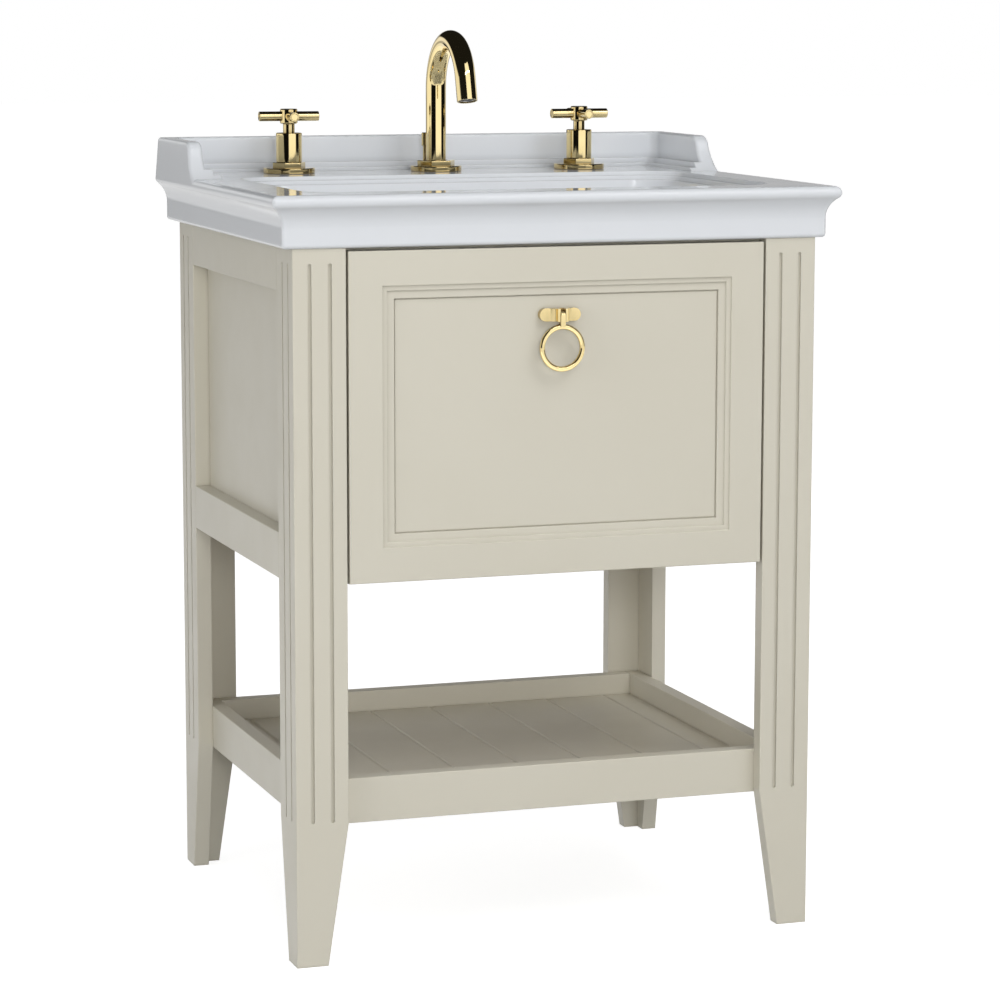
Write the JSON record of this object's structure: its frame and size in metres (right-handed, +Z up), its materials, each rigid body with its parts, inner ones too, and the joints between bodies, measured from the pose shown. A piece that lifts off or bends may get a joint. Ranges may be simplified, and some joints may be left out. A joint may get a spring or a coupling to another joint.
{
  "type": "vanity unit",
  "caption": "Free-standing painted washstand with tapered fluted legs, a deep drawer with a ring pull, a slatted tray shelf and a moulded ceramic basin with a gold cross-handle mixer.",
  "frame": {"origin": "on the floor, below the middle of the basin's plan", "axes": "+X to the right seen from the front, +Y to the back wall, +Z up"},
  "size_m": [0.65, 0.535, 1.0045],
  "materials": {
    "paint": "satin ivory paint on wood",
    "drawer_board": "lacquered birch board",
    "ceramic": "white glaze",
    "gold": "polished gold plate",
    "raw_brass": "plain turned brass",
    "steel": "zinc-plated steel",
    "plastic": "moulded plastic",
    "rubber": "black rubber",
    "hose_braid": "braided hose"
  },
  "bodies": {
    "cabinet": {"leg_front_left": "paint", "leg_front_right": "paint", "leg_back_left": "paint", "leg_back_right": "paint", "side_panel_left": "paint", "side_panel_right": "paint", "side_bottom_rail_left": "paint", "side_bottom_rail_right": "paint", "side_top_rail_left": "paint", "side_top_rail_right": "paint", "front_stretcher": "paint", "back_top_rail": "paint", "back_bottom_rail": "paint", "shelf_left_rail": "paint", "shelf_right_rail": "paint", "shelf_front_rail": "paint", "shelf_back_rail": "paint", "shelf_floor": "paint", "runner_bearer_left": "paint", "runner_bearer_right": "paint", "cabinet_runners": "steel", "basin": "ceramic", "hot_flange": "gold", "hot_sleeve": "gold", "hot_valve": "raw_brass", "hot_hose": "hose_braid", "cold_flange": "gold", "cold_sleeve": "gold", "cold_valve": "raw_brass", "cold_hose": "hose_braid", "spout_flange": "gold", "spout_collar": "gold", "spout_shank": "raw_brass", "tap_washers": "rubber", "tap_lock_nuts": "raw_brass", "waste_body": "gold", "waste_gasket": "rubber", "waste_nut": "raw_brass"},
    "drawer": {"drawer_front": "paint", "drawer_side_left": "drawer_board", "drawer_side_right": "drawer_board", "drawer_back": "drawer_board", "drawer_bottom": "drawer_board", "drawer_recess": "plastic", "drawer_runners": "steel", "pull_plate": "gold", "pull_pin": "gold"},
    "runner_middle": {"middle_runners": "steel"},
    "ring": {"pull_ring": "gold"},
    "hot_handle": {"hot_handle_hub": "gold", "hot_handle_arms": "gold"},
    "cold_handle": {"cold_handle_hub": "gold", "cold_handle_arms": "gold"},
    "spout": {"spout_tube": "gold", "spout_aerator": "plastic"},
    "lift_rod": {"lift_rod": "gold", "lift_strap": "steel"},
    "lever": {"pop_up_lever": "steel"},
    "plug": {"pop_up_plug": "gold"}
  },
  "joints": [
    {"name": "drawer_slide", "type": "slide", "parent": "cabinet", "child": "drawer", "axis": [0, -1, 0], "range_m": [0, 0.35]},
    {"name": "runner_slide", "type": "slide", "parent": "cabinet", "child": "runner_middle", "axis": [0, -1, 0], "range_m": [0, 0.1755]},
    {"name": "pull_hinge", "type": "hinge", "parent": "drawer", "child": "ring", "pos_m": [0, -0.2574, 0.7028], "axis": [-1, 0, 0], "range_deg": [0, 90]},
    {"name": "hot_turn", "type": "hinge", "parent": "cabinet", "child": "hot_handle", "pos_m": [-0.182, 0.1895, 0.9], "axis": [0, 0, 1], "range_deg": [0, 90]},
    {"name": "cold_turn", "type": "hinge", "parent": "cabinet", "child": "cold_handle", "pos_m": [0.182, 0.1895, 0.9], "axis": [0, 0, -1], "range_deg": [0, 90]},
    {"name": "spout_swivel", "type": "hinge", "parent": "cabinet", "child": "spout", "pos_m": [0, 0.1895, 0.9], "axis": [0, 0, 1], "range_deg": [-60, 60]},
    {"name": "lift_slide", "type": "slide", "parent": "cabinet", "child": "lift_rod", "axis": [0, 0, 1], "range_m": [0, 0.04356]},
    {"name": "lever_tilt", "type": "hinge", "parent": "cabinet", "child": "lever", "pos_m": [0, 0.01, 0.62], "axis": [1, 0, 0], "range_deg": [-0.1, 12.1]},
    {"name": "plug_slide", "type": "slide", "parent": "cabinet", "child": "plug", "axis": [0, 0, 1], "range_m": [-0.00557, 0.0001]}
  ],
  "couplings": [
    {"joint": "runner_slide", "follows": "drawer_slide", "ratio": 0.5},
    {"joint": "lever_tilt", "follows": "lift_slide", "rad_per_m": 4.8086},
    {"joint": "plug_slide", "follows": "lift_slide", "ratio": -0.12548}
  ]
}
